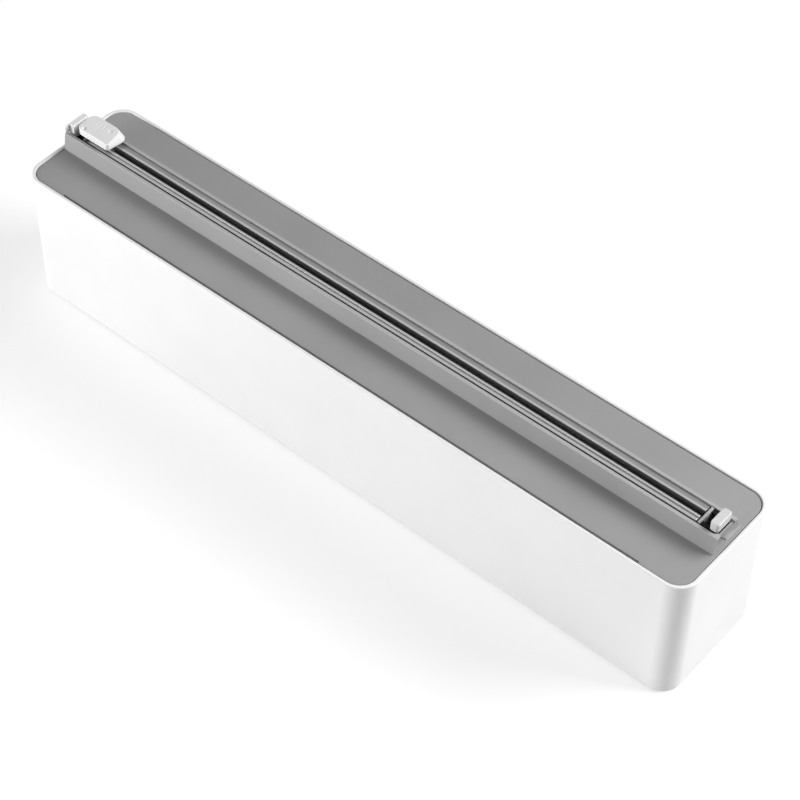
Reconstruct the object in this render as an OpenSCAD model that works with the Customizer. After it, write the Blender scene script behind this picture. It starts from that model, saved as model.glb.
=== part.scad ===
// Cling film cutter: a white box for one roll of film, a grey lift-off lid with a raised rail,
// a hinged cutter bar that clamps the film in the rail, and a slider that draws a blade along it.
// The origin is at the middle of the underside, X runs along the box, Y to the back and Z up.

/* [Box] */
// Length of the box over its end walls
box_l = 340; // [330:1:380]
// Width of the box from front to back
box_w = 59; // [58:0.2:80]
// Height of the box rim above the table
box_rim_z = 65.5; // [62:0.5:90]
// Radius of the upright corners
box_corner_r = 9.2; // [6:0.2:12]
// Radius of the edge round the underside
box_edge_r = 1.5; // [1:0.1:4]
// Wall below the ledge that carries the lid
box_wall = 2.4; // [2.2:0.1:3]
// Thinner wall beside the lid, up to the rim
rim_wall = 1.6; // [1.2:0.1:1.8]
// Floor of the box
box_floor = 2.2; // [1.6:0.1:4]

/* [Feet] */
// Width of a foot pad
foot_d = 12; // [8:0.5:16]
// How far a foot pad stands below the box
foot_stand = 0.3; // [0.2:0.05:1]
// Depth of the round seat that holds a foot pad
foot_seat = 0.8; // [0.4:0.1:1.2]
// Distance from the box sides to a foot's middle
foot_inset = 15; // [13:0.5:20]

/* [Film roll] */
// Room between each end of the film and the box's end
film_end_room = 20; // [20:0.5:30]
// Diameter of the largest roll
roll_d = 50; // [36:0.5:50]
// Bore of the cardboard core
core_d = 30; // [24:0.5:34]
// Length of the fins that enter the core
hub_l = 14; // [8:0.5:24]
// Diameter of the stub axle
axle_d = 8; // [6:0.5:10]
// Thickness of the cradle plate that carries an axle
cradle_t = 5; // [4:0.2:6]
// Width of the cradle plate
cradle_w = 26; // [20:0.5:34]

/* [Lid] */
// Thickness of the lid panel
lid_t = 2; // [1.6:0.1:2.6]
// Depth of the lid below the rim
lid_recess = 1.2; // [0.6:0.1:2]
// Gap between the lid and the rim
lid_gap = 0.35; // [0.3:0.05:0.6]
// Radius of the lid's top edge
lid_edge_r = 0.5; // [0.2:0.1:0.8]
// Height of the skirt under the lid
skirt_h = 4; // [2:0.2:6]
// Wall of the skirt
skirt_t = 1.4; // [1:0.1:2]
// Distance from the box's end to the slot that the film leaves by
film_slot_end = 22; // [20:0.5:30]
// How far the lid's front edge is cut back at the film slot
film_slot_cut = 1.3; // [0.8:0.1:2]

/* [Rail] */
// Width of the rail over its two walls
rail_w = 13; // [12.6:0.1:16]
// Height of the rail above the lid
rail_h = 8.9; // [8.8:0.1:9.6]
// How far the rail's middle lies behind the middle of the lid
rail_shift = 0.85; // [0:0.05:2]
// Front wall of the rail
rail_front_t = 1.3; // [1:0.1:1.4]
// Rear wall of the rail
rail_rear_t = 1.2; // [1:0.1:1.4]
// Floor of the rail
rail_floor = 1.2; // [0.9:0.1:1.2]
// Wall across the rail's right end
end_wall_t = 1.3; // [1:0.1:1.6]
// Length of the ear at the rail's left end
ear_l = 2.3; // [1:0.1:2.8]
// Height of the ear above the rail
ear_rise = 3.9; // [2:0.1:4.2]

/* [Cutter bar] */
// Width of the slot that the blade runs in
slot_w = 2.5; // [2.3:0.05:2.7]
// Height of the two guide strips
bar_h = 6; // [5.9:0.05:6.1]
// Thickness of a strip's lower flange
flange_t = 1.5; // [1.3:0.05:1.6]
// Height of the hollow that the carriage runs in
hollow_h = 2.2; // [2:0.05:2.4]
// Side wall of a strip
strip_side_t = 1.3; // [1.1:0.05:1.4]
// Width of the rib on the rear strip
rib_w = 1.1; // [0.9:0.05:1.3]
// How far the rear strip's shelf lies below its rib
shelf_drop = 1.1; // [0.8:0.05:1.2]
// Length of the white hinge block
hinge_block_l = 3.4; // [3.2:0.1:3.6]
// Height of the hinge block above the rail
hinge_block_rise = 4.1; // [3:0.1:5]
// Diameter of the hinge pin
pin_d = 1.8; // [1.4:0.1:2]

/* [Latch] */
// Length of the knob along the rail
knob_l = 3.8; // [3.4:0.1:4]
// Width of the knob across the rail
knob_w = 9.3; // [8.6:0.1:9.4]
// Height of the knob above the rail
knob_rise = 3.8; // [2.5:0.1:5]
// Free space that the knob slides into
latch_room = 3.9; // [3.7:0.1:4.4]
// Outer diameter of the return spring
spring_d = 2.6; // [2.4:0.05:2.8]
// Wire of the return spring
spring_wire = 0.36; // [0.3:0.02:0.4]
// Turns of the return spring
spring_turns = 7; // [6:1:7]

/* [Slider] */
// Length of the slider cap
cap_l = 18.6; // [16:0.1:20]
// Width of the slider cap
cap_w = 10.9; // [10:0.1:11.5]
// Height of the slider cap
cap_h = 3.2; // [3:0.1:5]
// Radius of the cap's corners at its left end
cap_left_r = 3.2; // [1.5:0.1:4]
// Radius of the cap's rear corner at its right end
cap_back_r = 4; // [1.5:0.1:4.6]
// How far the cap's right end slopes back
cap_slope_l = 2.8; // [1:0.1:3.4]
// Radius of the cap's top edge
cap_edge_r = 0.6; // [0.3:0.1:0.8]
// Height of the cap's underside above the rail
cap_lift = 1.4; // [1.2:0.1:2]
// Length of the carriage
carriage_l = 8.3; // [8:0.1:8.6]
// Thickness of the blade
blade_t = 0.4; // [0.3:0.05:0.5]
// Length of the blade
blade_l = 6; // [5:0.1:7]

/* [Pull tab] */
// How far the pull tab reaches past the rail's end
tab_reach = 2.5; // [1.5:0.1:2.8]
// Width of the pull tab
tab_w = 10.1; // [8:0.1:10.4]
// Thickness of the pull tab
tab_t = 1.3; // [1:0.1:1.5]

/* [Hidden] */
$fn = 48;

// Clearances and small sizes that several pieces share
cut = 1;
run_gap = 0.25;
soft_gap = 0.3;
side_gap = 0.4;
seat_gap = 0.05;
small_fn = 32;
shell_fn = 64;

// Levels, from the table up
box_z = foot_stand;
floor_z = box_z + box_floor;
lid_z = box_rim_z - lid_recess;
ledge_z = lid_z - lid_t;
rail_floor_z = lid_z + rail_floor;
rail_z = lid_z + rail_h;
bar_sink = 0.2;
bar_z = rail_z - bar_sink;
bar_bottom_z = bar_z - bar_h;
hollow_z = bar_bottom_z + flange_t;
hollow_top_z = hollow_z + hollow_h;

// Film roll and what carries it
film_w = box_l - 2 * film_end_room;
roll_gap = 1.5;
roll_z = floor_z + roll_gap + roll_d / 2;
flange_gap = 1;
plug_flange_x = film_w / 2 + flange_gap;
plug_flange_t = 2;
plug_flange_over = 5;
hub_core_d = 12;
fin_t = 1.8;
fin_count = 6;
axle_fit = 0.08;
cradle_back_t = 1.5;
cradle_rise = 10;
cradle_x = box_l / 2 - box_wall;
guide_rib_t = 1.6;

// Plan sizes of the lid
lid_l = box_l - 2 * (rim_wall + lid_gap);
lid_w = box_w - 2 * (rim_wall + lid_gap);
lid_corner_r = box_corner_r - rim_wall - lid_gap;
skirt_l = box_l - 2 * (box_wall + side_gap);
skirt_w = box_w - 2 * (box_wall + side_gap);
skirt_corner_r = box_corner_r - box_wall - side_gap;
film_slot_l = box_l - 2 * film_slot_end;
film_relief_h = 9;
film_relief_over = 2;
film_rib_t = 1.6;
film_rib_back = 6;

// Plan of the rail: x0 and x1 are its ends, y0 and y1 the inner faces of its walls
rail_x0 = -lid_l / 2;
rail_end_inset = 1.3;
rail_x1 = lid_l / 2 - rail_end_inset;
rail_front_y = rail_shift - rail_w / 2;
rail_rear_y = rail_shift + rail_w / 2;
rail_y0 = rail_front_y + rail_front_t;
rail_y1 = rail_rear_y - rail_rear_t;
blade_groove_w = 1.6;
blade_groove_h = 0.5;
end_corner_r = 1.7;

// Cutter bar across the rail
bar_front_gap = 0.95;
bar_rear_gap = 0.3;
bar_y0 = rail_y0 + bar_front_gap;
bar_y1 = rail_y1 - bar_rear_gap;
slot_offset = 0.3;
slot_y = rail_shift + slot_offset;
slot_y0 = slot_y - slot_w / 2;
slot_y1 = slot_y + slot_w / 2;
groove_w = 0.8;
groove_h = 0.5;
hollow_y0 = bar_y0 + strip_side_t;
hollow_y1 = bar_y1 - strip_side_t;

// Cutter bar along the rail, worked in from both ends
knob_gap = 0.3;
knob_x1 = rail_x1 - end_wall_t - knob_gap;
knob_x0 = knob_x1 - knob_l;
cross_wall_right_t = 1.1;
cross_right_x1 = knob_x0 - latch_room;
cross_right_x0 = cross_right_x1 - cross_wall_right_t;
strip_right_gap = 0.7;
strip_x1 = cross_right_x0 - strip_right_gap;
block_x1 = rail_x0 + hinge_block_l;
left_room = 4.8;
cross_wall_left_t = 1.1;
cross_left_x0 = block_x1 + left_room;
cross_left_x1 = cross_left_x0 + cross_wall_left_t;
strip_left_gap = 1.7;
strip_x0 = cross_left_x1 + strip_left_gap;
cross_wall_drop = 0.1;

// Caps at the strips' ends
cap_floor_t = 1.2;
cap_floor_top_z = bar_bottom_z + cap_floor_t;
lug_l = 5;
lug_gap = 0.4;
lug_t = bar_bottom_z - rail_floor_z - lug_gap;
lug_side_gap = 0.1;
bed_side_t = 1;
bed_top_z = hollow_top_z;

// Hinge at the left end
pin_in = 1.9;
pin_x = rail_x0 + pin_in;
pin_rise = 3.5;
pin_z = rail_floor_z + pin_rise;
pin_fit = 0.06;
block_gap = 0.35;
knuckle_r = pin_rise - block_gap;
block_top_r = 1.2;
block_foot_l = 3.6;
block_foot_h = 1.6;
foot_y0 = bar_y0 + bed_side_t;
foot_y1 = bar_y1 - bed_side_t;

// Screws
rail_screw_d = 2;
rail_screw_head_d = 3;
rail_screw_l = 6;
rail_screw_count = 5;
rail_screw_inset = 38;
rail_screw_span = box_l - 2 * rail_screw_inset;
boss_d = 5;
boss_h = 4;
small_screw_d = 1.2;
small_screw_head_d = 1.9;
small_head_h = 0.5;
small_screw_l = 1.9;
screw_fit = 0.02;
small_fit = 0.1;

// Pads that the film is clamped on
pad_t = bar_bottom_z - rail_floor_z - soft_gap;
pad_w = 2.6;
pad_end_gap = 2.5;
pad_x0 = strip_x0 + lug_l + pad_end_gap;
pad_x1 = strip_x1 - lug_l - pad_end_gap;
pad_front_y = bar_y0 + soft_gap / 2;
pad_rear_y = bar_y1 - soft_gap / 2 - pad_w;

// Latch under the knob
right_floor_t = 1;
housing_side_t = 0.9;
housing_floor_t = 0.6;
housing_lip_t = 0.7;
housing_x0 = cross_right_x1;
housing_x1 = knob_x1 - soft_gap;
housing_z0 = bar_bottom_z - lug_t + right_floor_t;
bolt_gap = 0.2;
bolt_h = 3.9;
bolt_z0 = housing_z0 + housing_floor_t + bolt_gap;
bolt_z1 = bolt_z0 + bolt_h;
bolt_y0 = bar_y0 + housing_side_t + bolt_gap;
bolt_y1 = bar_y1 - housing_side_t - bolt_gap;
nose_w = 4;
nose_h = 2.2;
nose_up = 0.7;
nose_z0 = bolt_z0 + nose_up;
nose_z1 = nose_z0 + nose_h;
stem_w = 4.4;
stem_l = 2.2;
knob_base_z = rail_z - 1.1 * bar_sink;
knob_edge_r = 0.5;
knob_corner_r = 1.5;
spring_seat_gap = 0.3;
spring_seat_d = spring_d + 2 * spring_seat_gap;
spring_z = bolt_z0 + bolt_h / 2;
spring_bore_l = 3.2;
spring_sides = 6;
spring_rings = 8;

// Slider
park_gap = 1.2;
cap_x0 = block_x1 + park_gap;
cap_x1 = cap_x0 + cap_l;
cap_offset_y = 1.2;
cap_y0 = slot_y + cap_offset_y - cap_w / 2;
cap_y1 = slot_y + cap_offset_y + cap_w / 2;
cap_front_r = 1.2;
cap_side_h = 1;
cap_z0 = rail_z + cap_lift;
carriage_offset = 1.9;
carriage_x = (cap_x0 + cap_x1) / 2 + carriage_offset;
shoulder_t = cap_z0 - bar_z - run_gap;
shoulder_w = 6.6;
neck_side_gap = 0.3;
neck_below = 0.4;
post_d = 2;
post_h = 2.2;
post_space = 4.6;
post_fit = 0.03;
blade_below = 0.9;
blade_up = 3.2;
blade_point_share = 0.45;
blade_pin_d = 0.8;
blade_pin_space = 3;
blade_fit = 0.03;

// Box between two corners
module block(x0, x1, y0, y1, z0, z1) {
    translate([x0, y0, z0]) cube([x1 - x0, y1 - y0, z1 - z0]);
}

// Straight run along X of an outline drawn as (Y, Z)
module along_x(x0, x1) {
    translate([x0, 0, 0]) rotate([90, 0, 90]) linear_extrude(x1 - x0) children();
}

// Rectangle in the (Y, Z) outline
module face(y0, y1, z0, z1) {
    translate([y0, z0]) square([y1 - y0, z1 - z0]);
}

// Children at the four corner centres of a rounded rectangle
module at_corners(l, w, r) {
    for (sx = [-1, 1], sy = [-1, 1]) {
        translate([sx * (l / 2 - r), sy * (w / 2 - r), 0]) children();
    }
}

// Upright slab with round corners
module slab(l, w, r, z0, z1) {
    translate([0, 0, z0]) linear_extrude(z1 - z0) union() {
        square([l - 2 * r, w], center = true);
        square([l, w - 2 * r], center = true);
        at_corners(l, w, r) circle(r);
    }
}

// Slab whose upper edge is rounded all the way round
module cover(l, w, r, e, z0, z1) {
    slab(l, w, r, z0, z1 - e);
    slab(l - 2 * e, w - 2 * e, r - e, z1 - 2 * e, z1);
    translate([0, 0, z1 - e]) {
        at_corners(l, w, r) rotate_extrude() translate([r - e, 0]) circle(e);
        for (sy = [-1, 1]) {
            translate([0, sy * (w / 2 - e), 0]) rotate([0, 90, 0]) cylinder(h = l - 2 * r, r = e, center = true);
        }
        for (sx = [-1, 1]) {
            translate([sx * (l / 2 - e), 0, 0]) rotate([90, 0, 0]) cylinder(h = w - 2 * r, r = e, center = true);
        }
    }
}

// Countersunk screw, its head up at z = 0
module screw(d, head_d, head_h, l) {
    translate([0, 0, -l]) cylinder(h = l, d = d);
    translate([0, 0, -head_h]) cylinder(h = head_h, d1 = d, d2 = head_d);
}

// Hole for that screw, open above
module screw_hole(d, head_d, head_h, l) {
    screw(d + 2 * screw_fit, head_d + 2 * screw_fit, head_h, l);
}

// Moulded shell form: a slab whose upper edge is rounded all the way round
module soft_cap(l, w, r, e, z0, z1, round_fn = small_fn) {
    hull() {
        translate([0, 0, z0]) at_corners(l, w, r) cylinder(h = z1 - z0 - e, r = r, $fn = round_fn);
        translate([0, 0, z1 - e]) at_corners(l, w, r)
            rotate_extrude($fn = round_fn) translate([r - e, 0]) circle(e, $fn = small_fn);
    }
}

module at_feet() {
    for (sx = [-1, 1], sy = [-1, 1]) {
        translate([sx * (box_l / 2 - foot_inset), sy * (box_w / 2 - foot_inset), 0]) children();
    }
}

module box_shell() {
    color("white") difference() {
        translate([0, 0, box_z + box_rim_z]) mirror([0, 0, 1])
            soft_cap(box_l, box_w, box_corner_r, box_edge_r, box_z, box_rim_z, round_fn = shell_fn);
        difference() {
            slab(box_l - 2 * box_wall, box_w - 2 * box_wall, box_corner_r - box_wall,
                floor_z, box_rim_z + cut);
            for (side = [-1, 1]) mirror([side < 0 ? 1 : 0, 0, 0]) guide_ribs();
        }
        slab(box_l - 2 * rim_wall, box_w - 2 * rim_wall, box_corner_r - rim_wall, ledge_z, box_rim_z + cut);
        block(-film_slot_l / 2 - film_relief_over, film_slot_l / 2 + film_relief_over,
            -box_w / 2 + rim_wall, 0, ledge_z - film_relief_h, ledge_z + cut);
        at_feet() translate([0, 0, box_z - cut]) cylinder(h = foot_seat + cut, d = foot_d + 2 * seat_gap);
    }
}

// Upright ribs that hold a cradle plate against the end wall
module guide_ribs() {
    for (sy = [-1, 1]) {
        rib_y = sy * (cradle_w / 2 + seat_gap + guide_rib_t / 2);
        block(cradle_x - cradle_t, cradle_x + cut, rib_y - guide_rib_t / 2, rib_y + guide_rib_t / 2,
            floor_z - cut, roll_z + cradle_rise);
    }
}

module feet() {
    color("lightgray") at_feet() cylinder(h = foot_stand + foot_seat - seat_gap, d = foot_d);
}

module cradle() {
    notch_r = axle_d / 2 + axle_fit;
    difference() {
        block(cradle_x - cradle_t, cradle_x - seat_gap, -cradle_w / 2, cradle_w / 2,
            floor_z, roll_z + cradle_rise);
        translate([cradle_x - cradle_t - cut, 0, roll_z]) rotate([0, 90, 0])
            cylinder(h = cradle_t - cradle_back_t + cut, r = notch_r);
        block(cradle_x - cradle_t - cut, cradle_x - cradle_back_t, -notch_r, notch_r,
            roll_z, roll_z + cradle_rise + cut);
    }
}

module cradle_left() {
    color("gainsboro") mirror([1, 0, 0]) cradle();
}

module cradle_right() {
    color("gainsboro") cradle();
}

module plug() {
    translate([0, 0, roll_z]) rotate([0, 90, 0]) {
        translate([0, 0, plug_flange_x]) cylinder(h = plug_flange_t, d = core_d + 2 * plug_flange_over);
        translate([0, 0, plug_flange_x - hub_l]) cylinder(h = hub_l + cut, d = hub_core_d);
        translate([0, 0, plug_flange_x])
            cylinder(h = cradle_x - cradle_t - seat_gap - side_gap - plug_flange_x, d = hub_core_d);
        translate([0, 0, plug_flange_x])
            cylinder(h = cradle_x - cradle_back_t - side_gap - plug_flange_x, d = axle_d);
        intersection() {
            for (i = [0 : fin_count - 1]) rotate([0, 0, i * 360 / fin_count])
                translate([0, -fin_t / 2, plug_flange_x - hub_l]) cube([core_d, fin_t, hub_l + cut]);
            translate([0, 0, plug_flange_x - hub_l])
                cylinder(h = hub_l + cut, d1 = core_d - 2 * fin_t, d2 = core_d);
        }
    }
}

module plug_left() {
    color("whitesmoke") mirror([1, 0, 0]) plug();
}

module plug_right() {
    color("whitesmoke") plug();
}

// Places of the screws that hold the rail, under the rear and front pads in turn
module at_rail_screws() {
    for (i = [0 : rail_screw_count - 1]) {
        pad_y = i % 2 == 0 ? pad_rear_y : pad_front_y;
        translate([-rail_screw_span / 2 + i * rail_screw_span / (rail_screw_count - 1), pad_y + pad_w / 2, 0])
            children();
    }
}

module rail_screw_cut() {
    at_rail_screws() translate([0, 0, rail_floor_z])
        screw_hole(rail_screw_d, rail_screw_head_d, rail_floor / 2, rail_screw_l);
}

module lid_panel() {
    color("darkgray") difference() {
        union() {
            cover(lid_l, lid_w, lid_corner_r, lid_edge_r, ledge_z, lid_z);
            difference() {
                slab(skirt_l, skirt_w, skirt_corner_r, ledge_z - skirt_h, ledge_z + lid_t / 2);
                slab(skirt_l - 2 * skirt_t, skirt_w - 2 * skirt_t, skirt_corner_r - skirt_t,
                    ledge_z - skirt_h - cut, ledge_z);
                block(-film_slot_l / 2 - film_relief_over, film_slot_l / 2 + film_relief_over,
                    -box_w, -lid_w / 2 + film_rib_back, ledge_z - skirt_h - cut, ledge_z);
            }
            block(-film_slot_l / 2, film_slot_l / 2, -lid_w / 2 + film_rib_back,
                -lid_w / 2 + film_rib_back + film_rib_t, ledge_z - skirt_h, ledge_z + lid_t / 2);
            at_rail_screws() translate([0, 0, ledge_z - boss_h]) cylinder(h = boss_h + lid_t / 2, d = boss_d);
        }
        block(-film_slot_l / 2, film_slot_l / 2, -box_w, -lid_w / 2 + film_slot_cut,
            ledge_z - cut, lid_z + cut);
        rail_screw_cut();
    }
}

module rail_channel() {
    color("darkgray") difference() {
        union() {
            along_x(rail_x0, rail_x1) difference() {
                face(rail_front_y, rail_rear_y, lid_z, rail_z);
                face(rail_y0, rail_y1, rail_floor_z, rail_z + cut);
                face(slot_y - blade_groove_w / 2, slot_y + blade_groove_w / 2,
                    rail_floor_z - blade_groove_h, rail_floor_z + cut);
            }
            block(rail_x0, rail_x0 + ear_l, rail_front_y, rail_y0, rail_z - cut, rail_z + ear_rise);
            block(rail_x1 - end_wall_t, rail_x1, rail_front_y, rail_rear_y, lid_z, rail_z);
            // Rounded inner corners beside the knob
            difference() {
                block(rail_x1 - end_wall_t - end_corner_r, rail_x1, rail_front_y, rail_rear_y, lid_z, rail_z);
                translate([rail_x1 - end_wall_t - end_corner_r, 0, rail_floor_z]) linear_extrude(rail_h)
                    union() {
                        for (y = [rail_y0 + end_corner_r, rail_y1 - end_corner_r]) {
                            translate([0, y]) circle(end_corner_r);
                        }
                        translate([0, rail_y0 + end_corner_r])
                            square([end_corner_r, rail_y1 - rail_y0 - 2 * end_corner_r]);
                    }
            }
        }
        // Keeper window for the bolt's nose
        block(rail_x1 - end_wall_t - cut, rail_x1 + cut, slot_y - nose_w / 2 - run_gap,
            slot_y + nose_w / 2 + run_gap, nose_z0 - run_gap, nose_z1 + run_gap);
        // Seat of the pull tab's tongue
        block(rail_x1 - end_wall_t - cut, rail_x1 + cut, tongue_y0, tongue_y1,
            tab_z0, tab_z0 + tab_tongue_t);
        translate([pin_x, rail_front_y + rail_front_t / 2, pin_z]) rotate([-90, 0, 0])
            cylinder(h = rail_w, d = pin_d + 2 * screw_fit, $fn = small_fn);
        rail_screw_cut();
    }
}

module rail_screws() {
    color("silver") at_rail_screws() translate([0, 0, rail_floor_z])
        screw(rail_screw_d, rail_screw_head_d, rail_floor / 2, rail_screw_l - seat_gap);
}

module film_pads() {
    color("dimgray") for (y = [pad_front_y, pad_rear_y]) {
        block(pad_x0, pad_x1, y, y + pad_w, rail_floor_z, rail_floor_z + pad_t);
    }
}

module hinge_pin() {
    color("silver") translate([pin_x, rail_front_y + rail_front_t / 2 + seat_gap, pin_z]) rotate([-90, 0, 0])
        cylinder(h = rail_w - rail_front_t / 2 - 2 * seat_gap, d = pin_d, $fn = small_fn);
}

// Pull tab on the outside of the end wall
tab_inset = 0.15;
tab_y0 = bar_y0 + tab_inset;
tab_y1 = tab_y0 + tab_w;
tab_drop = 0.1;
tab_z0 = rail_z - tab_drop - tab_t;
tab_step = 1.2;
tab_lip_w = 0.6;
tab_lip_h = 0.3;
tab_tongue_t = 0.7;
tongue_y0 = tab_y0 + tab_step;
tongue_y1 = rail_y1 - end_corner_r;

module pull_tab() {
    color("gray") union() {
        block(rail_x1, rail_x1 + tab_reach / 2, tab_y0, tab_y1, tab_z0, tab_z0 + tab_t);
        block(rail_x1, rail_x1 + tab_reach, tab_y0, tab_y1 - tab_step, tab_z0, tab_z0 + tab_t);
        block(rail_x1 + tab_reach - tab_lip_w, rail_x1 + tab_reach, tab_y0, tab_y1 - tab_step,
            tab_z0, tab_z0 + tab_t + tab_lip_h);
        block(rail_x1 - end_wall_t + seat_gap, rail_x1 + tab_reach / 2, tongue_y0, tongue_y1,
            tab_z0, tab_z0 + tab_tongue_t);
    }
}

module strip_front() {
    groove_y = (bar_y0 + slot_y0) / 2;
    color("silver") difference() {
        along_x(strip_x0, strip_x1) difference() {
            face(bar_y0, slot_y0, bar_bottom_z, bar_z);
            face(hollow_y0, slot_y0 + cut, hollow_z, hollow_top_z);
            face(groove_y - groove_w / 2, groove_y + groove_w / 2, bar_z - groove_h, bar_z + cut);
        }
        bar_screw_cut();
    }
}

module strip_rear() {
    color("silver") difference() {
        along_x(strip_x0, strip_x1) difference() {
            face(slot_y1, bar_y1, bar_bottom_z, bar_z);
            face(slot_y1 - cut, hollow_y1, hollow_z, hollow_top_z);
            face(slot_y1 + rib_w, bar_y1 + cut, bar_z - shelf_drop, bar_z + cut);
        }
        bar_screw_cut();
    }
}

// Places of the screws that hold the strips on the caps' lugs
module at_bar_screws() {
    for (x = [strip_x0 + lug_l / 2, strip_x1 - lug_l / 2],
         y = [(bar_y0 + slot_y0) / 2, (bar_y1 + slot_y1) / 2]) {
        translate([x, y, bar_bottom_z - lug_t]) mirror([0, 0, 1]) children();
    }
}

module bar_screw_cut() {
    at_bar_screws() screw_hole(small_screw_d, small_screw_head_d, small_head_h, small_screw_l, $fn = small_fn);
}

module bar_screws() {
    color("silver") at_bar_screws()
        screw(small_screw_d, small_screw_head_d, small_head_h, small_screw_l - seat_gap, $fn = small_fn);
}

// Lugs of a cap that reach under the ends of both strips
module lugs(x0, x1) {
    block(x0, x1, bar_y0, slot_y0 - lug_side_gap, bar_bottom_z - lug_t, bar_bottom_z);
    block(x0, x1, slot_y1 + lug_side_gap, bar_y1, bar_bottom_z - lug_t, bar_bottom_z);
}

module left_cap() {
    color("darkgray") difference() {
        union() {
            block(block_x1 + seat_gap, cross_left_x1, bar_y0, bar_y1, bar_bottom_z - lug_t, cap_floor_top_z);
            block(cross_left_x0, cross_left_x1, bar_y0, bar_y1, bar_bottom_z, bar_z - cross_wall_drop);
            block(cross_left_x1 - cut, strip_x0, bar_y0, bar_y1, bar_bottom_z - lug_t, bar_bottom_z);
            lugs(strip_x0 - cut, strip_x0 + lug_l);
        }
        bar_screw_cut();
        block_screw_at() screw_hole(small_screw_d, small_screw_head_d, small_head_h, block_screw_l,
            $fn = small_fn);
    }
}

// Black bed over the hinge block's foot
module hinge_bed() {
    foot_z = cap_floor_top_z + block_foot_h;
    color([0.08, 0.08, 0.08]) difference() {
        block(block_x1 + seat_gap, cross_left_x0, bar_y0, bar_y1, cap_floor_top_z, bed_top_z);
        block(block_x1, block_x1 + block_foot_l + screw_fit, foot_y0 - screw_fit, foot_y1 + screw_fit,
            cap_floor_top_z - cut, foot_z);
        block_screw_at() screw_hole(small_screw_d, small_screw_head_d, small_head_h, block_screw_l,
            $fn = small_fn);
    }
}

// Place and length of the screw that holds the hinge block's foot and the bed over it
block_screw_l = lug_t + cap_floor_t + block_foot_h + small_screw_d / 2;
module block_screw_at() {
    translate([block_x1 + seat_gap + block_foot_l / 2, slot_y, bar_bottom_z - lug_t])
        mirror([0, 0, 1]) children();
}

module hinge_block_screw() {
    color("silver") block_screw_at()
        screw(small_screw_d, small_screw_head_d, small_head_h, block_screw_l - seat_gap, $fn = small_fn);
}

module hinge_block() {
    y0 = bar_y0;
    y1 = bar_y1 - block_gap;
    top_z = rail_z + hinge_block_rise;
    color("white") difference() {
        union() {
            translate([0, y1, 0]) rotate([90, 0, 0]) linear_extrude(y1 - y0) difference() {
                union() {
                    translate([pin_x, pin_z]) circle(knuckle_r);
                    translate([rail_x0, pin_z]) square([hinge_block_l, top_z - pin_z - block_top_r]);
                    translate([rail_x0 + block_top_r, pin_z])
                        square([hinge_block_l - 2 * block_top_r, top_z - pin_z]);
                    for (x = [rail_x0 + block_top_r, block_x1 - block_top_r]) {
                        translate([x, top_z - block_top_r]) circle(block_top_r);
                    }
                }
                translate([block_x1, rail_floor_z]) square([knuckle_r, rail_h]);
                translate([rail_x0 - knuckle_r, rail_floor_z]) square([knuckle_r, rail_h]);
            }
            block(block_x1 - cut, block_x1 + block_foot_l, foot_y0, foot_y1,
                cap_floor_top_z, cap_floor_top_z + block_foot_h);
        }
        translate([pin_x, y0 - cut, pin_z]) rotate([-90, 0, 0])
            cylinder(h = y1 - y0 + 2 * cut, d = pin_d + 2 * pin_fit, $fn = small_fn);
        block_screw_at() screw_hole(small_screw_d, small_screw_head_d, small_head_h, block_screw_l,
            $fn = small_fn);
    }
}

// Corner that the bar's right end leaves free for the rail's rounded inner corner
module end_corner_cut() {
    r = end_corner_r - bar_rear_gap;
    translate([housing_x1 - r, bar_y1 - r, rail_floor_z]) linear_extrude(rail_h) difference() {
        square(r + cut);
        circle(r);
    }
}

module right_cap() {
    color("darkgray") difference() {
        union() {
            block(cross_right_x0, housing_x1, bar_y0, bar_y1, bar_bottom_z - lug_t, housing_z0);
            block(cross_right_x0, cross_right_x1, bar_y0, bar_y1, bar_bottom_z, bar_z - cross_wall_drop);
            block(strip_x1, cross_right_x0 + cut, bar_y0, bar_y1, bar_bottom_z - lug_t, bar_bottom_z);
            lugs(strip_x1 - lug_l, strip_x1 + cut);
        }
        end_corner_cut();
        bar_screw_cut();
        at_housing_screws() screw_hole(small_screw_d, small_screw_head_d, small_head_h, housing_screw_l,
            $fn = small_fn);
    }
}

// Screws that hold the latch housing down on the right cap
housing_screw_l = right_floor_t + housing_floor_t - small_fit;
module at_housing_screws() {
    for (side = [-1, 1]) {
        translate([(housing_x0 + housing_x1) / 2, slot_y + side * small_screw_head_d, bar_bottom_z - lug_t])
            mirror([0, 0, 1]) children();
    }
}

module housing_screws() {
    color("silver") at_housing_screws()
        screw(small_screw_d, small_screw_head_d, small_head_h, housing_screw_l - seat_gap, $fn = small_fn);
}

module latch_housing() {
    color([0.08, 0.08, 0.08]) difference() {
        along_x(housing_x0, housing_x1) difference() {
            face(bar_y0, bar_y1, housing_z0, bolt_z1 + bolt_gap + housing_lip_t);
            face(bolt_y0 - bolt_gap, bolt_y1 + bolt_gap, bolt_z0 - bolt_gap, bolt_z1 + bolt_gap);
            face(bolt_y0 + housing_side_t, bolt_y1 - housing_side_t, bolt_z1, rail_z);
        }
        end_corner_cut();
        at_housing_screws() screw_hole(small_screw_d, small_screw_head_d, small_head_h, housing_screw_l,
            $fn = small_fn);
    }
}

module latch_bolt() {
    color("gainsboro") difference() {
        union() {
            block(knob_x0, housing_x1, bolt_y0, bolt_y1, bolt_z0, bolt_z1);
            block(housing_x1 - cut, knob_x1, slot_y - nose_w / 2, slot_y + nose_w / 2, nose_z0, nose_z1);
            block(knob_x0 + (knob_l - stem_l) / 2, knob_x0 + (knob_l + stem_l) / 2, slot_y - stem_w / 2,
                slot_y + stem_w / 2, bolt_z1 - cut, knob_base_z + knob_rise / 2);
        }
        translate([knob_x0 - cut, slot_y, spring_z]) rotate([0, 90, 0])
            cylinder(h = spring_bore_l + cut, d = spring_seat_d, $fn = small_fn);
    }
}

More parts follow.
